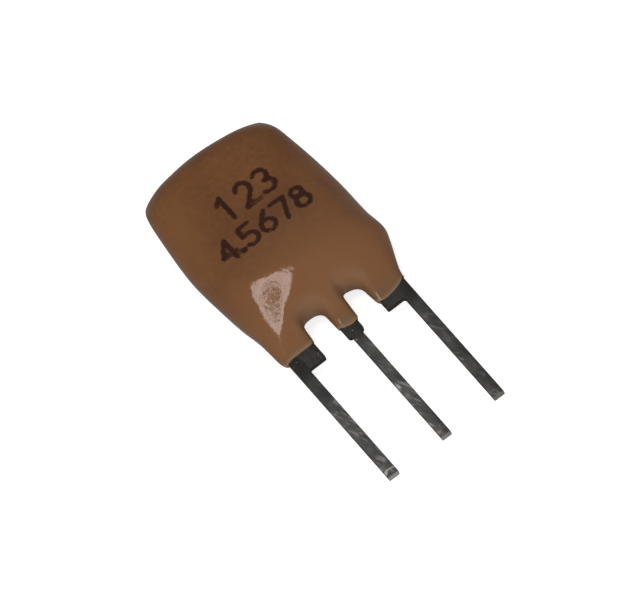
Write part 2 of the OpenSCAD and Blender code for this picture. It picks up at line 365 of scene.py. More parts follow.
# Noise of the two-tone group, the share of its blotches, and where its tones part.
BLOTCHES = Pattern(1.0, 2.0)
GRAIN = Pattern(14.0, 3.0)
BLOTCH_SHARE = 0.7
TONE_BAND = (0.35, 0.65)


def wire_two_tone(net: Network, given: Node, result: Node) -> None:
    """Fills the two-tone group, which mixes its tones by soft blotches and a fine grain.

    Args:
        net: The group's network.
        given: Its input node.
        result: Its output node.
    """
    point = given.outputs["Point"]
    blotches = net.maths("MULTIPLY", net.noise(point, BLOTCHES), BLOTCH_SHARE)
    grain = net.maths("MULTIPLY", net.noise(point, GRAIN), 1 - BLOTCH_SHARE)
    mask = net.remap(net.maths("ADD", blotches, grain), TONE_BAND)
    net.feed(result.inputs["Mask"], mask)
    colour = net.blend(mask, given.outputs["Dark"], given.outputs["Light"])
    net.feed(result.inputs["Colour"], colour)


def two_tone(net: Network, point: Socket, dark: Colour, light: Colour) -> Node:
    """Places the two-tone group in a material.

    Args:
        net: The material's network.
        point: Coordinates that its pattern follows.
        dark: The darker of its tones.
        light: The lighter one.

    Returns:
        The group's node, which puts out the colour and the mask that made it.
    """
    inputs = {"Point": "NodeSocketVector", "Dark": "NodeSocketColor", "Light": "NodeSocketColor"}
    outputs = {"Colour": "NodeSocketColor", "Mask": "NodeSocketFloat"}
    group = shader_group("two_tone", inputs, outputs, wire_two_tone)
    values = {"Point": point, "Dark": dark, "Light": light}
    return net.add("ShaderNodeGroup", values, node_tree=group)


def new_finish(name: str) -> tuple[bpy.types.Material, Network, Node]:
    """Empty material.

    Args:
        name: Name of the finish.

    Returns:
        The material, its network and its Principled shader.
    """
    material = bpy.data.materials.new(name)
    material.use_nodes = True
    material.node_tree.nodes.clear()
    net = Network(material.node_tree)
    shader = net.add("ShaderNodeBsdfPrincipled")
    net.add("ShaderNodeOutputMaterial", {"Surface": shader.outputs["BSDF"]})
    return material, net, shader


# ---------- finishes ----------


@dataclass(frozen=True)
class EpoxyFinish:
    """Brown semi-gloss epoxy with dark marking ink, painted paler as light low on the body and
    along the arches.

    Lengths are in millimetres. A band gives the heights between which an effect grows to
    its full share. The ink's stroke is half the width of a pen stroke, and its bleed is
    half the width of that stroke's soft edge.
    """

    dark: Colour = linear(110, 70, 38)
    light: Colour = linear(125, 84, 48)
    # Paler colour painted on the lower body as painted light, where more light falls on the lower
    # front.
    low: Colour = linear(131, 91, 60)
    tab: Colour = linear(104, 88, 66)
    # Pale colour of the thin rims at the tab ends, also painted along the arches as light over
    # their shade.
    rim: Colour = linear(150, 128, 104)
    ink: Colour = linear(54, 22, 2)
    tone_stretch: Point = (0.35, 0.35, 0.35)
    # Heights between which the painted light of the lower body grows to its full share.
    lower_painted_light_band: Band = (6.5, 2.0)
    lower_painted_light_share: float = 0.7
    tab_band: Band = (1.5, 0.3)
    tab_share: float = 0.6
    rim_and_arch_light_share: float = 0.6
    roughness: Band = (0.07, 0.14)
    sheen: Pattern = Pattern(2.2, 2.0)
    dull_band: Band = (1.2, 0.5)
    dull_tab: float = 0.1
    dull_ink: float = 0.12
    gloss: float = 0.4
    peel: Pattern = Pattern(5.0, 4.0)
    peel_depth: float = 0.018
    peel_strength: float = 0.4
    stroke: float = 0.1
    bleed: float = 0.04
    uneven: Pattern = Pattern(7.0, 2.0)
    uneven_reach: float = 0.045

    def ink_mask(self, net: Network, point: Socket) -> Socket:
        """Mask of the marking, soft and uneven at the edges of its strokes.

        Args:
            net: The material's network.
            point: Coordinates in millimetres.

        Returns:
            The mask, which is 1 in the ink.
        """
        off = net.layer(INK_LAYER)
        off = net.maths("ADD", off, net.sway(point, self.uneven, self.uneven_reach))
        edge = (self.stroke - self.bleed, self.stroke + self.bleed)
        return net.remap(off, edge, (1.0, 0.0))

    def colour(self, net: Network, point: Socket, up: Socket) -> Socket:
        """Colour of the coat without its ink, painted paler as light low on the body and along
        the arches.

        Args:
            net: The material's network.
            point: Coordinates in millimetres.
            up: How far up the body they are.

        Returns:
            The colour.
        """
        tone = two_tone(net, net.stretch(point, self.tone_stretch), self.dark, self.light)
        # Painted light: the lower body is blended towards the paler low colour.
        low = net.remap(up, self.lower_painted_light_band, (0.0, self.lower_painted_light_share))
        body = net.blend(low, tone.outputs["Colour"], self.low)
        tab = net.remap(up, self.tab_band, (0.0, self.tab_share))
        body = net.blend(tab, body, self.tab)
        # The thin tab-end rims are painted pale, and so are the arches, as painted light over
        # their shade.
        rim = net.maths("MULTIPLY", net.layer(RIM_AND_ARCH_LIGHT_LAYER), self.rim_and_arch_light_share)
        return net.blend(rim, body, self.rim)

    def build(self) -> bpy.types.Material:
        """Builds the finish.

        Returns:
            The material.
        """
        material, net, shader = new_finish("brown_epoxy")
        point = net.millimetres()
        up = net.add("ShaderNodeSeparateXYZ", {"Vector": point}).outputs["Y"]
        ink = self.ink_mask(net, point)
        colour = net.blend(ink, self.colour(net, point, up), self.ink)
        net.feed(shader.inputs["Base Color"], colour)
        rough = net.mask(point, self.sheen, self.roughness)
        rough = net.maths("ADD", rough, net.remap(up, self.dull_band, (0.0, self.dull_tab)))
        rough = net.maths("ADD", rough, net.maths("MULTIPLY", ink, self.dull_ink))
        net.feed(shader.inputs["Roughness"], rough)
        peel = net.noise(point, self.peel)
        net.feed(shader.inputs["Normal"], net.bump(peel, self.peel_depth, self.peel_strength))
        shader.inputs["Specular IOR Level"].default_value = self.gloss
        return material


@dataclass(frozen=True)
class LeadFinish:
    """Tarnished tin plating: near black at the shoulders, scuffed and paler down the tails.

    Lengths are in millimetres. A band gives the places between which an effect changes: up
    the leads, or across all three where its name says so.
    """

    dark: Colour = linear(73, 76, 76)
    light: Colour = linear(102, 105, 103)
    shoulder: Colour = linear(63, 64, 63)
    scuff: Colour = linear(172, 173, 170)
    burnish: Colour = linear(214, 214, 208)
    bare: Colour = linear(206, 206, 198)
    metallic: float = 0.9
    roughness: Band = (0.5, 0.36)
    tarnish_band: Band = (-1.0, 0.1)
    output_across: Band = (1.2, 1.8)
    output_tarnish: float = 0.45
    output_scuffs: float = 0.35
    scuff_marks: Pattern = Pattern(2.2, 3.0, (0.48, 0.66))
    scuff_patches: Pattern = Pattern(1.1, 1.0, (0.42, 0.58))
    scuff_slant: float = math.radians(25)
    scuff_stretch: Point = (0.3, 1.0, 0.3)
    scuff_band: Band = (-0.4, -1.4)
    scuff_least: float = 0.04
    scuff_share: float = 0.8
    flecks: Pattern = Pattern(8.0, 1.0, (0.7, 0.78))
    fleck_share: float = 0.7
    cut_face: float = 0.04
    cut_blend: float = 0.03
    cut_across: Band = (-2.5, 2.5)
    cut_least: float = 0.5
    shear: float = 0.24
    shear_width: Band = (0.01, 0.045)
    shear_sway: Pattern = Pattern(2.6, 1.0)
    shear_reach: float = 0.25
    shear_breaks: Pattern = Pattern(4.0, 1.0, (0.36, 0.46))
    shear_share: float = 0.6
    shear_across: Band = (-2.1, -1.6)
    shear_least: float = 0.2
    drawn_lines: Pattern = Pattern(7.0, 3.0)
    drawn_stretch: Point = (3.0, 0.35, 3.0)
    dents: Pattern = Pattern(2.5, 2.0)
    dent_depth: float = 0.02
    dent_strength: float = 0.8

    @property
    def tip(self) -> float:
        """Height at which the cut ends of the tails begin."""
        return CAD_BOX[0][1] / MM + self.cut_face

    def scuffs(self, net: Network, point: Socket, up: Socket) -> Socket:
        """Mask of slanting scuffs in patches and small bright flecks.

        Args:
            net: The material's network.
            point: Coordinates in millimetres.
            up: How far up the leads they are.

        Returns:
            The mask, which is highest where the tin is scuffed bright.
        """
        turn = {"Rotation": (0, 0, self.scuff_slant), "Scale": self.scuff_stretch}
        turned = net.add("ShaderNodeMapping", {"Vector": point, **turn}, vector_type="TEXTURE")
        marks = net.mask(turned.outputs["Vector"], self.scuff_marks, (0.0, self.scuff_share))
        marks = net.maths("MULTIPLY", marks, net.mask(point, self.scuff_patches))
        worn = net.remap(up, self.scuff_band, (self.scuff_least, 1.0))
        flecks = net.mask(point, self.flecks, (0.0, self.fleck_share))
        return net.maths("MAXIMUM", net.maths("MULTIPLY", marks, worn), flecks)

    def shear_line(self, net: Network, point: Socket, up: Socket) -> Socket:
        """Mask of the bright broken line where the tails were sheared off.

        Args:
            net: The material's network.
            point: Coordinates in millimetres.
            up: How far up the leads they are.

        Returns:
            The mask, which is highest where the line is brightest.
        """
        above = net.maths("SUBTRACT", up, self.tip + self.shear)
        sway = net.sway(point, self.shear_sway, self.shear_reach)
        off = net.maths("ABSOLUTE", net.maths("ADD", above, sway))
        line = net.remap(off, self.shear_width, (self.shear_share, 0.0))
        return net.maths("MULTIPLY", line, net.mask(point, self.shear_breaks))

    def relief(self, net: Network, point: Socket) -> Socket:
        """Height of fine lines along the leads and of shallow dents."""
        lines = net.noise(net.stretch(point, self.drawn_stretch), self.drawn_lines)
        return net.maths("ADD", lines, net.noise(point, self.dents))

    def build(self) -> bpy.types.Material:
        """Builds the finish.

        Returns:
            The material.
        """
        material, net, shader = new_finish("dull_tin")
        point = net.millimetres()
        split = net.add("ShaderNodeSeparateXYZ", {"Vector": point})
        across, up = split.outputs["X"], split.outputs["Y"]
        tone = two_tone(net, point, self.dark, self.light)
        output_lead = net.remap(across, self.output_across, (0.0, self.output_tarnish))
        tarnish = net.maths("MAXIMUM", net.remap(up, self.tarnish_band), output_lead)
        colour = net.blend(tarnish, tone.outputs["Colour"], self.shoulder)
        fewer = net.remap(across, self.output_across, (1.0, self.output_scuffs))
        scuff = net.maths("MULTIPLY", self.scuffs(net, point, up), fewer)
        colour = net.blend(scuff, colour, self.scuff)
        fainter = net.remap(across, self.shear_across, (1.0, self.shear_least))
        line = net.maths("MULTIPLY", self.shear_line(net, point, up), fainter)
        colour = net.blend(line, colour, self.burnish)
        bare = net.remap(up, (self.tip - self.cut_blend, self.tip + self.cut_blend), (1.0, 0.0))
        darker = net.remap(across, self.cut_across, (1.0, self.cut_least))
        colour = net.blend(net.maths("MULTIPLY", bare, darker), colour, self.bare)
        net.feed(shader.inputs["Base Color"], colour)
        shader.inputs["Metallic"].default_value = self.metallic
        net.feed(shader.inputs["Roughness"], net.remap(scuff, (0.0, 1.0), self.roughness))
        relief = net.bump(self.relief(net, point), self.dent_depth, self.dent_strength)
        net.feed(shader.inputs["Normal"], relief)
        return material


@dataclass(frozen=True)
class InnerFinish:
    """Plain fired or soldered finish of a sealed inner piece, in two tones with a fine grain."""

    slot: str
    name: str
    dark: Colour
    light: Colour
    metallic: float
    roughness: float
    unevenness: float = 0.06
    grain: Pattern = Pattern(30.0, 3.0)
    grain_depth: float = 0.01
    grain_strength: float = 0.4

    def build(self) -> bpy.types.Material:
        """Builds the finish.

        Returns:
            The material.
        """
        material, net, shader = new_finish(self.name)
        point = net.millimetres()
        tone = two_tone(net, point, self.dark, self.light)
        net.feed(shader.inputs["Base Color"], tone.outputs["Colour"])
        shader.inputs["Metallic"].default_value = self.metallic
        ends = (self.roughness + self.unevenness, self.roughness - self.unevenness)
        net.feed(shader.inputs["Roughness"], net.remap(tone.outputs["Mask"], (0.0, 1.0), ends))
        grain = net.noise(point, self.grain)
        net.feed(shader.inputs["Normal"], net.bump(grain, self.grain_depth, self.grain_strength))
        return material


@dataclass(frozen=True)
class FloorFinish:
    """Plain pale paper, which looks brighter than the light that it gives back."""

    colour: Colour = linear(243, 243, 243)
    shade: float = 0.99
    shades: Pattern = Pattern(0.02, 1.0)
    bounce: float = 0.5
    glow: float = 0.7
    roughness: float = 0.9

    def build(self) -> bpy.types.Material:
        """Builds the finish.

        Returns:
            The material.
        """
        material, net, shader = new_finish("pale_floor")
        darker = tuple(c * self.shade for c in self.colour)
        pale = net.blend(net.mask(net.millimetres(), self.shades), darker, self.colour)
        grey = tuple(c * self.bounce for c in self.colour)
        seen = net.add("ShaderNodeLightPath").outputs["Is Camera Ray"]
        net.feed(shader.inputs["Base Color"], net.blend(seen, grey, pale))
        shader.inputs["Roughness"].default_value = self.roughness
        shader.inputs["Specular IOR Level"].default_value = 0.0
        shader.inputs["Emission Color"].default_value = (*WHITE, 1)
        net.feed(shader.inputs["Emission Strength"], net.maths("MULTIPLY", seen, self.glow))
        return material


# ---------- the marking ----------

# Degrees along an oval from one point to the next.
OVAL_STEP = 40


def oval(x: float, y: float, across: float, up: float, start: float, end: float) -> Run:
    """Points along a stretch of an oval.

    Args:
        x: Place of its centre across.
        y: Place of its centre up.
        across: Half of its width.
        up: Half of its height.
        start: Angle at which the stretch starts, in degrees.
        end: Angle at which it ends.

    Returns:
        The points, ends included.
    """
    steps = max(round(abs(end - start) / OVAL_STEP), 2)
    turns = [math.radians(mix(start, end, i / steps)) for i in range(steps + 1)]
    return tuple((x + across * math.cos(t), y + up * math.sin(t)) for t in turns)


# Pen strokes of each digit, in a box about 0.6 wide and 1 high.
DIGITS: dict[str, Run] = {
    "1": ((0.1, 0.78), (0.34, 1), (0.34, 0)),
    "2": (*oval(0.3, 0.7, 0.27, 0.3, 165, -35), (0.02, 0), (0.6, 0)),
    "3": (*oval(0.28, 0.75, 0.25, 0.25, 145, -90), *oval(0.28, 0.25, 0.3, 0.25, 90, -145)),
    "4": ((0.46, 0), (0.46, 1), (0, 0.3), (0.62, 0.3)),
    "5": ((0.56, 1), (0.1, 1), (0.07, 0.54), *oval(0.29, 0.3, 0.31, 0.3, 125, -145)),
    "6": ((0.5, 1), (0.12, 0.56), *oval(0.31, 0.3, 0.29, 0.3, 150, -210)),
    "7": ((0, 1), (0.6, 1), (0.22, 0)),
    "8": (*oval(0.3, 0.77, 0.23, 0.23, -90, 270), *oval(0.3, 0.27, 0.29, 0.27, 90, -270)),
    ".": ((0, 0.02), (0.08, 0.02), (0.08, 0.1), (0, 0.1)),
}


@dataclass(frozen=True)
class MarkLine:
    """One line of plain digits on the coat, each at its own place. Sizes in millimetres."""

    text: str
    places: tuple[float, ...]
    foot: float
    height: float

    def strokes(self) -> Iterator[tuple[Station, Station]]:
        """Pen strokes of the line.

        Yields:
            Both ends of each stroke.
        """
        for digit, left in zip(self.text, self.places):
            run = DIGITS[digit]
            spots = [(left + x * self.height, self.foot + y * self.height) for x, y in run]
            yield from zip(spots, spots[1:])


@dataclass(frozen=True)
class Marking:
    """Two lines of plain digits in ink. Sizes in millimetres."""

    lines: tuple[MarkLine, ...] = (
        MarkLine("123", (-1.06, -0.1, 0.76), foot=6.64, height=1.12),
        MarkLine("4.5678", (-2.1, -1.34, -1.08, -0.25, 0.57, 1.38), foot=5.08, height=1.02),
    )
    margin: float = 0.5

    def distance(self, x: float, y: float) -> float:
        """Distance from a place to the middle of the nearest stroke.

        Args:
            x: Where the place is across.
            y: Where it is up the body.

        Returns:
            The distance, or the margin where no stroke is nearer than that.
        """
        nearest = self.margin
        for line in self.lines:
            if line.foot - self.margin < y < line.foot + line.height + self.margin:
                for (x0, y0), (x1, y1) in line.strokes():
                    run_x, run_y = x1 - x0, y1 - y0
                    along = (x - x0) * run_x + (y - y0) * run_y
                    share = clamp(along / max(run_x**2 + run_y**2, TINY))
                    off = math.hypot(x - x0 - share * run_x, y - y0 - share * run_y)
                    nearest = min(nearest, off)
        return nearest


# ---------- the coat ----------


@dataclass(frozen=True)
class Gap:
    """Gap that the coat leaves between two tabs, closed by an arch. Sizes in millimetres."""

    left: Curve
    right: Curve
    left_spring: float
    right_spring: float
    rise: float = 0.48
    power: float = 2.4

    def feet(self) -> Band:
        """Where the arch springs on the left and on the right."""
        return self.left(self.left_spring), self.right(self.right_spring)

    def spring(self, x: float) -> float:
        """Level at x of the straight line between both springs."""
        left, right = self.feet()
        return mix(self.left_spring, self.right_spring, clamp((x - left) / (right - left)))

    def arch(self, x: float) -> float:
        """Level of the arch.

        Args:
            x: Where to read it.

        Returns:
            The level, which past both feet is that of the spring.
        """
        left, right = self.feet()
        across = min(abs(2 * x - left - right) / (right - left), 1)
        return self.spring(x) + self.rise * (1 - across**self.power) ** (1 / self.power)

    def distance(self, x: float, y: float) -> float:
        """Distance of a place from the gap.

        Args:
            x: Where the place is across.
            y: Where it is along the leads.

        Returns:
            The distance, which is zero in the gap and on its rim.
        """
        left, right = self.left(y), self.right(y)
        across = abs(2 * x - left - right) / (right - left)
        up = max(y - self.spring(x), 0) / self.rise
        reach = (across**self.power + up**self.power) ** (1 / self.power)
        if reach <= 1:
            return 0.0
        return (reach - 1) * (across * (right - left) / 2 + up * self.rise) / (across + up)


@dataclass(frozen=True)
class Facet:
    """Nearly flat three-sided shoulder on the lower left of the bulge.

    Sizes are in millimetres. Two corners and a tip bound it. It passes through its middle,
    rises by a slope across and one along the leads, and is crowned, less along its lean
    than across it. It falls away beyond its sides and grows out of the coat over its foot.
    """

    left: Station = (-2.12, 3.75)
    right: Station = (-0.36, 2.98)
    tip: Station = (-2.4, 1.54)
    middle: Point = (-1.66, 2.88, 1.15)
    rise: Station = (0.194, 0.268)
    lean: float = math.radians(53)
    crown: Station = (0.03, 0.055)
    crown_fall: float = 0.12
    left_fall: float = 0.22
    left_bow: float = 0.2
    gap_fall: float = 0.25
    crease: float = 0.05
    spread: float = 0.25
    foot: Band = (0.3, 2.2)

    def softness(self, y: float) -> float:
        """Half width over which a side is rounded at y, which grows below the tip."""
        return self.crease + self.spread * max(self.tip[1] - y, 0)

    def beyond(self, x: float, y: float, start: Station, end: Station, bow: float = 0.0) -> float:
        """How far a place is to the left of the side from start to end, eased in at the side.

        Args:
            x: Where the place is across.
            y: Where it is along the leads.
            start: Corner at which the side starts.
            end: Corner at which it ends.
            bow: How far the middle of the side stands out to the left.

        Returns:
            The distance, which is zero well to the right of the side.
        """
        run_x, run_y = end[0] - start[0], end[1] - start[1]
        length = math.hypot(run_x, run_y)
        along = clamp((run_x * (x - start[0]) + run_y * (y - start[1])) / length**2)
        off = (run_x * (y - start[1]) - run_y * (x - start[0])) / length
        off -= 4 * bow * along * (1 - along)
        soft = self.softness(y)
        return max(off, 0) if abs(off) > soft else (off + soft) ** 2 / (4 * soft)

    def cut(self, x: float, y: float, z: float) -> float:
        """Cuts the coat down to the shoulder.

        Args:
            x: Where the place is across.
            y: Where it is along the leads.
            z: Height of the coat there.

        Returns:
            The height that is left.
        """
        x0, y0, z0 = self.middle
        flat = z0 + self.rise[0] * (x - x0) + self.rise[1] * (y - y0)
        along = (x - x0) * math.cos(self.lean) + (y - y0) * math.sin(self.lean)
        across = (x - x0) * math.sin(self.lean) - (y - y0) * math.cos(self.lean)
        flat -= min(self.crown[0] * along**2 + self.crown[1] * across**2, self.crown_fall)
        flat -= self.left_fall * self.beyond(x, y, self.tip, self.left, self.left_bow)
        flat -= self.gap_fall * self.beyond(x, y, self.right, self.tip)
        soft = self.softness(y)
        kept = clamp(0.5 + (flat - z) / (2 * soft))
        low = mix(flat, z, kept) - soft * kept * (1 - kept)
        return mix(z, low, smooth((y - self.foot[0]) / (self.foot[1] - self.foot[0])))


@dataclass(frozen=True)
class Coat:
    """The dipped epoxy coat: outline, swell and grid. Sizes in millimetres.

    The columns of its grid run up the body and fall into its stretches. The rows fall into
    three runs: up the tabs to the springs of the arches, on to the waist, and on to the top.
    """

    # Outline.
    left_side: Curve = Curve(
        (0.6, -2.87), (1.1, -2.97), (1.7, -3.01), (2.3, -3.06), (3.2, -3.22), (4.4, -3.34),
        (5.8, -3.43), (6.8, -3.4), (8.7, -3.21), (9.2, -3.14), (9.55, -3.06), (9.8, -2.92),
    )
    right_side: Curve = Curve(
        (0.5, 2.79), (1.1, 2.86), (2.2, 3.28), (2.85, 3.48), (3.8, 3.38), (5.5, 3.36),
        (7, 3.26), (8.5, 3.08), (9.25, 2.94), (9.88, 2.6),
    )
    top_side: Curve = Curve(
        (-2.92, 9.8), (-2.72, 9.92), (-2.35, 10.05), (-1.7, 10.2), (-0.3, 10.32), (1.2, 10.18),
        (2.6, 9.88),
    )
    tab_ends: tuple[Curve, Curve, Curve] = (
        Curve(
            (-2.92, 0.9), (-2.84, 0.78), (-2.74, 0.64), (-2.6, 0.76), (-1.56, 0.78), (-1.42, 0.88)
        ),
        Curve((-0.42, 0.64), (-0.25, 0.52), (0.15, 0.42), (0.4, 0.5), (0.47, 0.62)),
        Curve((1.36, 0.6), (1.5, 0.46), (2.0, 0.45), (2.45, 0.56), (2.8, 0.76)),
    )
    left_gap: Gap = Gap(
        left=Curve((0.7, -1.42), (1.36, -1.37)),
        right=Curve((0.4, -0.42), (1.36, -0.45)),
        left_spring=1.36,
        right_spring=1.36,
    )
    right_gap: Gap = Gap(
        left=Curve((0.4, 0.47), (1.4, 0.53)),
        right=Curve((0.4, 1.38), (1.2, 1.3)),
        left_spring=1.4,
        right_spring=1.2,
    )
    # Height of the front, depth of the back and level of the parting between them, the
    # width of the rounded edges, and how far the front falls towards its sides.
    front: Curve = Curve(
        (0.4, 0.14), (0.9, 0.32), (1.5, 0.69), (2.3, 1.14), (3.2, 1.43), (4, 1.46),
        (5.2, 1.25), (6.6, 0.94), (8, 0.82), (10.3, 0.74),
    )
    back: Curve = Curve((0.4, 0.14), (0.9, 0.36), (1.5, 0.56), (2.3, 0.96), (3.1, 1.2))
    level: Curve = Curve((1, 0), (3, 0.06), (6, -0.14), (10.3, -0.22))
    side_round: Curve = Curve((0.4, 0.24), (1.2, 0.5), (2.4, 0.95), (4, 1.1), (10.3, 1))
    gap_round: Curve = Curve((0.4, 0.12), (1, 0.32), (1.6, 0.5), (2.3, 0.72), (3, 0.86))
    top_round: float = 0.95
    crown: Curve = Curve((1, 0.05), (2.2, 0.25), (3.2, 0.36), (4.5, 0.3), (6.5, 0.1))
    crown_reach: float = 3.0
    facet: Facet = Facet()
    # Thin lip where a tab ends on its lead, and slow waves over the front.
    lead_face: float = 0.125
    lip: float = 0.012
    lip_reach: float = 0.3
    wave: float = 0.012
    wave_stretch: Station = (0.55, 0.4)
    wave_slice: float = 2.0
    wave_foot: float = 3.0
    # How far the thin rims reach at the tab ends, and the painted light that lifts the arches'
    # shade.
    thin_end_reach: float = 0.16
    arch_light_share: float = 0.45
    arch_light_reach: float = 0.6
    arch_light_foot: float = 1.0
    # Grid.
    waist: float = 2.6
    tab_rows: int = 8
    spring_rows: int = 9
    body_rows: int = 44
    row_ease: float = 1.5
    top_crowd: float = 0.13
    end_level: float = 0.6
    tab_columns: tuple[tuple[float, float, int], ...] = (
        (0.5, 0.2, 6), (0.3, 0.3, 5), (0.2, 0.5, 6),
    )
    gap_columns: int = 11
    edge_steps: int = 6
    merge: float = 0.0005

    def crowded(self, a: float, b: float, middle: int) -> list[float]:
        """Steps from 0 to 1 that crowd towards both ends.

        Args:
            a: Share at the start over which they crowd.
            b: Share at the end over which they crowd.
            middle: Number of even steps between.

        Returns:
            The steps, ends included.
        """
        n = self.edge_steps
        ease = [1 - math.cos(math.pi / 2 * i / n) for i in range(n)]
        between = [mix(a, 1 - b, i / middle) for i in range(middle + 1)]
        return [a * e for e in ease] + between + [1 - b * e for e in reversed(ease)]

    def columns(self) -> list[Column]:
        """Columns of the grid.

        Returns:
            The stretch that each column is in, and its share of the way across it.
        """
        n = self.gap_columns + 1
        arch = [(1 - math.cos(math.pi * i / n)) / 2 for i in range(1, n)]
        left, middle, right = (self.crowded(*tab) for tab in self.tab_columns)
        steps = (left, arch, middle, arch, right)
        return [(stretch, s) for stretch, run in zip(Stretch, steps) for s in run]

    def body_steps(self) -> list[float]:
        """Steps from the waist to the top, which crowd towards the top.

        Returns:
            The share of the way up of each row above the waist.
        """
        n = self.edge_steps + 1
        crowd = self.top_crowd
        even = [(1 - crowd) * i / self.body_rows for i in range(1, self.body_rows + 1)]
        ease = [1 - math.cos(math.pi / 2 * i / n) for i in range(n - 1, -1, -1)]
        return even + [1 - crowd * e for e in ease]

    def column_x(self, column: Column, y: float) -> float:
        """Where a column runs.

        Args:
            column: The column.
            y: Height at which to read it.

        Returns:
            Its place across.
        """
        stops = (
            self.left_side(y), self.left_gap.left(y), self.left_gap.right(y),
            self.right_gap.left(y), self.right_gap.right(y), self.right_side(y),
        )
        stretch, share = column
        return mix(stops[stretch], stops[stretch + 1], share)

    def base(self, column: Column) -> float:
        """Height from which a column runs to the waist.

        Args:
            column: The column.

        Returns:
            The height, which is on an arch over a gap, and level with its springs on a tab.
        """
        stretch, share = column
        x = self.column_x(column, self.waist)
        if stretch == Stretch.MIDDLE_TAB:
            return mix(self.left_gap.spring(x), self.right_gap.spring(x), share)
        gap = self.left_gap if stretch < Stretch.MIDDLE_TAB else self.right_gap
        return gap.arch(x) if stretch in GAPS else gap.spring(x)

    def place(self, column: Column, row: int) -> Point:
        """Place of a grid point.

        Args:
            column: The column that it is on.
            row: Number of its row, from the ends of the tabs.

        Returns:
            Its x and y, and how far it is from the end of its tab.
        """
        waist_row = self.tab_rows + self.spring_rows
        if row <= waist_row:
            end = self.tab_ends[column[0] // 2](self.column_x(column, self.end_level))
            if row < self.tab_rows:
                y = mix(end, self.base(column), (row / self.tab_rows) ** self.row_ease)
            else:
                rise = ((row - self.tab_rows) / self.spring_rows) ** self.row_ease
                y = mix(self.base(column), self.waist, rise)
            return self.column_x(column, y), y, y - end
        v = self.body_steps()[row - waist_row - 1]
        foot_left, foot_right = self.left_side(self.waist), self.right_side(self.waist)
        share = (self.column_x(column, self.waist) - foot_left) / (foot_right - foot_left)
        (x0, y0), (x1, y1) = self.top_side.stations[0], self.top_side.stations[-1]
        left = self.left_side(mix(self.waist, y0, v))
        right = self.right_side(mix(self.waist, y1, v))
        y = mix(self.waist, self.top_side(mix(x0, x1, share)), v)
        return mix(left, right, share), y, y

    def height(self, x: float, y: float, from_end: float, is_front: bool) -> float:
        """Height of the coat's front or back.

        Args:
            x: Where the place is across.
            y: Where it is along the leads.
            from_end: How far it is from the end of its tab.
            is_front: Whether it is on the front.

        Returns:
            The height over the leads' middle plane.
        """
        side, gap = self.side_round(y), self.gap_round(y)
        swell = (
            rounded(x - self.left_side(y), side)
            * rounded(self.right_side(y) - x, side)
            * rounded(self.top_side(x) - y, self.top_round)
            * rounded(self.left_gap.distance(x, y), gap)
            * rounded(self.right_gap.distance(x, y), gap)
        )
        level = self.level(y)
        if is_front:
            crown = self.crown(y) * (x / self.crown_reach) ** 2
            across, up = self.wave_stretch
            wave = noise.noise(Vector((x * across, y * up, self.wave_slice)))
            wave *= min(y / self.wave_foot, 1)
            out = self.front(y) - crown + self.wave * wave - level
        else:
            out = self.back(y) + level
        lip = self.lead_face + self.lip
        out = mix(min(lip, out), out, rounded(from_end, self.lip_reach))
        z = level + (out if is_front else -out) * swell
        return self.facet.cut(x, y, z) if is_front else z

    def thinness_and_arch_light(self, x: float, y: float, from_end: float) -> float:
        """How thin the coat is at the tab ends, plus painted light along the arches.

        Args:
            x: Where the place is across.
            y: Where it is along the leads.
            from_end: How far it is from the end of its tab.

        Returns:
            A share: 1 at the thin end of a tab, less as painted light along the arches, and 0
                elsewhere.
        """
        off = min(self.left_gap.distance(x, y), self.right_gap.distance(x, y))
        # Painted light: the walls beside the arches, which lie in shade, are marked to be painted
        # paler.
        arch = self.arch_light_share * (1 - smooth(off / self.arch_light_reach))
        arch *= smooth((y - self.arch_light_foot) / self.arch_light_reach)
        return max(1 - smooth(from_end / self.thin_end_reach), arch)

    def sheet(self, bm: bmesh.types.BMesh, span: bmesh.types.BMLayerItem) -> None:
        """Flat grid in the coat's outline, with the gaps between the tabs cut out.

        Args:
            bm: The empty mesh to make it in.
            span: Layer that takes how far each vertex is from the end of its tab.
        """
        columns = self.columns()
        last_column = len(columns) - 1
        last_row = self.tab_rows + self.spring_rows + len(self.body_steps())
        bmesh.ops.create_grid(bm, x_segments=last_column, y_segments=last_row, size=1)
        cell = {
            v: (round((v.co.x + 1) / 2 * last_column), round((v.co.y + 1) / 2 * last_row))
            for v in bm.verts
        }
        open_cells = [
            f for f in bm.faces
            if min(cell[v][1] for v in f.verts) < self.tab_rows
            and any(columns[cell[v][0]][0] in GAPS for v in f.verts)
        ]
        bmesh.ops.delete(bm, geom=open_cells, context="FACES")
        for v in bm.verts:
            x, y, v[span] = self.place(columns[cell[v][0]], cell[v][1])
            v.co = Vector((x, y, 0)) * MM

    def mesh(self, marking: Marking) -> bmesh.types.BMesh:
        """Closed mesh: the sheet, thickened into a front, a back and rounded rims.

        Args:
            marking: The digits on its front.

        Returns:
            The mesh, whose layers tell the finish where the coat is thin, where light is painted
            along the arches, and where it is inked.
        """
        bm = bmesh.new()
        rim = bm.verts.layers.float.new(RIM_AND_ARCH_LIGHT_LAYER)
        span = bm.verts.layers.float.new("from_end")
        ink = bm.verts.layers.float.new(INK_LAYER)
        self.sheet(bm, span)
        back = list(bm.verts)
        raised = bmesh.ops.extrude_face_region(bm, geom=list(bm.faces), use_keep_orig=True)
        front = [e for e in raised["geom"] if isinstance(e, bmesh.types.BMVert)]
        for skin, is_front in ((back, False), (front, True)):
            for v in skin:
                x, y = v.co.x / MM, v.co.y / MM
                v.co.z = self.height(x, y, v[span], is_front) * MM
                # Thin tab ends, and painted light along the arches.
                v[rim] = self.thinness_and_arch_light(x, y, v[span])
                v[ink] = marking.distance(x, y) if is_front else marking.margin
        bmesh.ops.remove_doubles(bm, verts=list(bm.verts), dist=self.merge * MM)
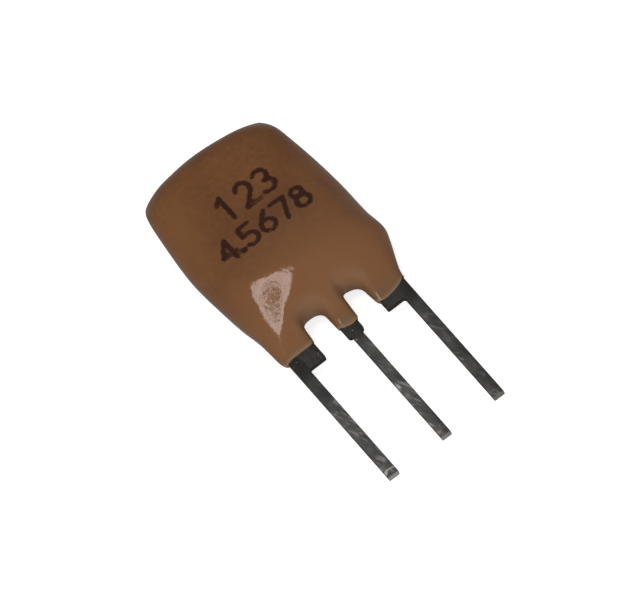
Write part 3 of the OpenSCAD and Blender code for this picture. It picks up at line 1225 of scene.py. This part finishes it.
        # A corner where the front and the back meet on two edges alone would pinch the mesh.
        corners = [v for v in bm.verts if len(v.link_edges) == 2]
        bmesh.ops.dissolve_verts(bm, verts=corners)
        bmesh.ops.recalc_face_normals(bm, faces=list(bm.faces))
        return bm

    def build(self, marking: Marking, finish: bpy.types.Material) -> bpy.types.Object:
        """Makes the coat and dresses it.

        Args:
            marking: The digits on its front.
            finish: Material of the coat and its ink.

        Returns:
            The new piece.
        """
        piece = piece_from(self.mesh(marking), "coat_body")
        piece.data.materials.append(finish)
        smooth_surface(piece, levels=1)
        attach(piece, ROOT)
        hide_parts("epoxy_coat")
        return piece


# ---------- leads ----------


@dataclass(frozen=True)
class Leads:
    """Stamped leads with softened edges and rolled ends. Sizes in millimetres."""

    edge: float = 0.022
    edge_segments: int = 3
    roll: float = 0.09
    roll_segments: int = 4
    merge: float = 0.001
    flat_angle: float = math.radians(1)
    sharp_angle: float = math.radians(40)

    def copy(self, lead: Lead) -> bmesh.types.BMesh:
        """Copy of a CAD lead, merged and cleared of the edges across its flat faces.

        Args:
            lead: The lead.

        Returns:
            Its mesh.
        """
        bm = bmesh.new()
        bm.from_mesh(frame["nodes"][lead.value].data)
        bmesh.ops.remove_doubles(bm, verts=list(bm.verts), dist=self.merge * MM)
        bmesh.ops.dissolve_limit(
            bm, angle_limit=self.flat_angle, verts=list(bm.verts), edges=list(bm.edges)
        )
        return bm

    def soften(
        self, bm: bmesh.types.BMesh, edges: list[bmesh.types.BMEdge], width: float, segments: int
    ) -> None:
        """Rounds edges of a lead.

        Args:
            bm: The lead's mesh.
            edges: The edges.
            width: How far the rounding reaches on each side.
            segments: Number of its steps.
        """
        bmesh.ops.bevel(
            bm, geom=edges, offset=width * MM, segments=segments, profile=0.5, affect="EDGES",
            material=-1, clamp_overlap=True,
        )

    def mesh(self, lead: Lead) -> bmesh.types.BMesh:
        """Mesh of a lead with its front edge rolled over at the tip and all others softened.

        Args:
            lead: The lead.

        Returns:
            The mesh.
        """
        bm = self.copy(lead)
        end = min(v.co.y for v in bm.verts) + self.merge * MM
        face = max(v.co.z for v in bm.verts) - self.merge * MM
        tip = [e for e in bm.edges if all(v.co.y < end and v.co.z > face for v in e.verts)]
        self.soften(bm, tip, self.roll, self.roll_segments)
        sharp = [e for e in bm.edges if e.is_manifold and e.calc_face_angle() > self.sharp_angle]
        self.soften(bm, sharp, self.edge, self.edge_segments)
        return bm

    def build(self, lead: Lead, finish: bpy.types.Material) -> bpy.types.Object:
        """Makes a lead and dresses it.

        Args:
            lead: The lead.
            finish: Material of its plating.

        Returns:
            The new piece.
        """
        piece = piece_from(self.mesh(lead), lead.value.replace("_lead", "_terminal"))
        piece.data.materials.append(finish)
        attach(piece, ROOT)
        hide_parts(lead.value)
        return piece


# ---------- inner pieces ----------


@dataclass(frozen=True)
class InnerPieces:
    """Sealed plate, chip, electrodes and solder joints, which keep their CAD shapes."""

    finishes: tuple[InnerFinish, ...] = (
        InnerFinish(
            "piezo_ceramic", "lapped_ceramic", linear(168, 152, 116), linear(190, 176, 140),
            metallic=0.0, roughness=0.6,
        ),
        InnerFinish(
            "chip_ceramic", "fired_ceramic", linear(150, 118, 92), linear(176, 144, 116),
            metallic=0.0, roughness=0.65,
        ),
        InnerFinish(
            "silver_film", "fired_silver", linear(176, 174, 168), linear(208, 206, 200),
            metallic=1.0, roughness=0.45,
        ),
        InnerFinish(
            "solder", "solder", linear(150, 150, 150), linear(186, 186, 184),
            metallic=1.0, roughness=0.35,
        ),
    )

    def dress(self) -> None:
        """Gives every sealed piece the finish of its material slot."""
        built = {finish.slot: finish.build() for finish in self.finishes}
        for row in frame["record"]["subparts"]:
            material = built.get(row["material_slot"])
            if material:
                mesh = frame["nodes"][row["node"]].data
                mesh.materials.clear()
                mesh.materials.append(material)
                log.info("dressed %s", row["node"])


# ---------- studio ----------


@dataclass(frozen=True)
class Lamp:
    """Round soft light that faces the part. Lengths in millimetres.

    Its middle may be dimmed to a share of its rim. The place and the band of that are in
    shares of its width. Glossy faces may leave the light out.
    """

    name: str
    towards: Point
    size: float
    glow: float
    middle: float = 1.0
    middle_place: Point = (0.5, 0.5, 0.0)
    middle_band: Band = (0.12, 0.2)
    tint: Colour = WHITE
    reach: float = 300.0
    gloss: bool = True

    def dim_middle(self, data: bpy.types.Light) -> None:
        """Dims the middle of the light's face.

        Args:
            data: The light.
        """
        data.use_nodes = True
        net = Network(data.node_tree)
        spot = net.add("ShaderNodeNewGeometry").outputs["Parametric"]
        off = net.vector("DISTANCE", spot, self.middle_place).outputs["Value"]
        face = next(n for n in data.node_tree.nodes if n.type == "EMISSION")
        net.feed(face.inputs["Strength"], net.remap(off, self.middle_band, (self.middle, 1.0)))

    def build(self) -> None:
        """Hangs the light over the part."""
        data = bpy.data.lights.new(self.name, "AREA")
        data.shape = "DISK"
        data.size = self.size * MM
        data.color = self.tint
        face = math.pi * (self.size * MM / 2) ** 2
        data.energy = self.glow * math.pi * face
        if self.middle < 1:
            self.dim_middle(data)
        lamp = bpy.data.objects.new(self.name, data)
        lamp.visible_glossy = self.gloss
        out = Vector(self.towards).normalized()
        turn = out.to_track_quat("Z", "Y").to_matrix().to_4x4()
        lamp.matrix_world = Matrix.Translation(out * self.reach * MM) @ turn
        bpy.context.scene.collection.objects.link(lamp)


@dataclass(frozen=True)
class Studio:
    """Pale floor, soft lights and the camera. Sizes in millimetres, angles in degrees."""

    azimuth: float = -16.9
    elevation: float = 61.3
    roll: float = -22.35
    distance: float = 700.0
    frame_width: float = 24.06
    sensor: float = 36.0
    near: float = 10.0
    far: float = 10000.0
    target: Point = (-0.416, 1.599, 0.772)
    floor_size: float = 3000.0
    room_glow: float = 0.27
    lamps: tuple[Lamp, ...] = (
        Lamp(
            "key", (-0.219, -0.035, 0.975), size=131.0, glow=7.7, middle=0.0,
            tint=(1.0, 0.87, 0.83),
        ),
        Lamp("fill", (-0.35, -0.8, 0.35), size=600.0, glow=1.05, gloss=False),
    )

    def view(self) -> Matrix:
        """Turn of the camera.

        Returns:
            The turn, whose axes are the camera's right, up and back.
        """
        turn = Matrix.Rotation(math.radians(self.azimuth), 4, "Z")
        tip = Matrix.Rotation(math.radians(90 - self.elevation), 4, "X")
        roll = Matrix.Rotation(math.radians(self.roll), 4, "Z")
        return turn @ tip @ roll

    def camera(self) -> None:
        """Sets up a long-lens camera that looks down on the part."""
        data = bpy.data.cameras.new("camera")
        data.sensor_width = self.sensor
        data.lens = self.sensor * self.distance / self.frame_width
        data.clip_start = self.near * MM
        data.clip_end = self.far * MM
        view = self.view()
        camera = bpy.data.objects.new("camera", data)
        back = view @ Vector((0, 0, self.distance * MM))
        camera.matrix_world = Matrix.Translation(Vector(self.target) * MM + back) @ view
        bpy.context.scene.collection.objects.link(camera)
        bpy.context.scene.camera = camera

    def floor(self) -> None:
        """Lays a plain floor under the part."""
        bm = bmesh.new()
        bmesh.ops.create_grid(bm, x_segments=1, y_segments=1, size=self.floor_size / 2 * MM)
        bmesh.ops.translate(bm, verts=list(bm.verts), vec=(0, 0, CAD_BOX[0][2]))
        floor = piece_from(bm, "floor")
        floor.data.materials.append(FloorFinish().build())

    def room(self) -> None:
        """Lights the room evenly from all around."""
        world = bpy.data.worlds.new("soft_room")
        world.use_nodes = True
        background = world.node_tree.nodes["Background"]
        background.inputs["Color"].default_value = (*WHITE, 1)
        background.inputs["Strength"].default_value = self.room_glow
        bpy.context.scene.world = world

    def build(self) -> None:
        """Builds everything around the part."""
        self.camera()
        self.floor()
        for lamp in self.lamps:
            lamp.build()
        self.room()
        bpy.context.scene.view_settings.view_transform = "Standard"


# ---------- the whole part ----------


def report(piece: bpy.types.Object) -> None:
    """Logs a new piece and the number of its faces."""
    log.info("built %s with %d faces", piece.name, len(piece.data.polygons))


def main() -> None:
    """Builds the studio, the coat, the leads and the inner finishes in turn."""
    logging.basicConfig(level=logging.INFO, format="%(name)s: %(message)s")
    Studio().build()
    report(Coat().build(Marking(), EpoxyFinish().build()))
    leads, plating = Leads(), LeadFinish().build()
    for lead in Lead:
        report(leads.build(lead, plating))
    InnerPieces().dress()


if __name__ == "__main__":
    main()
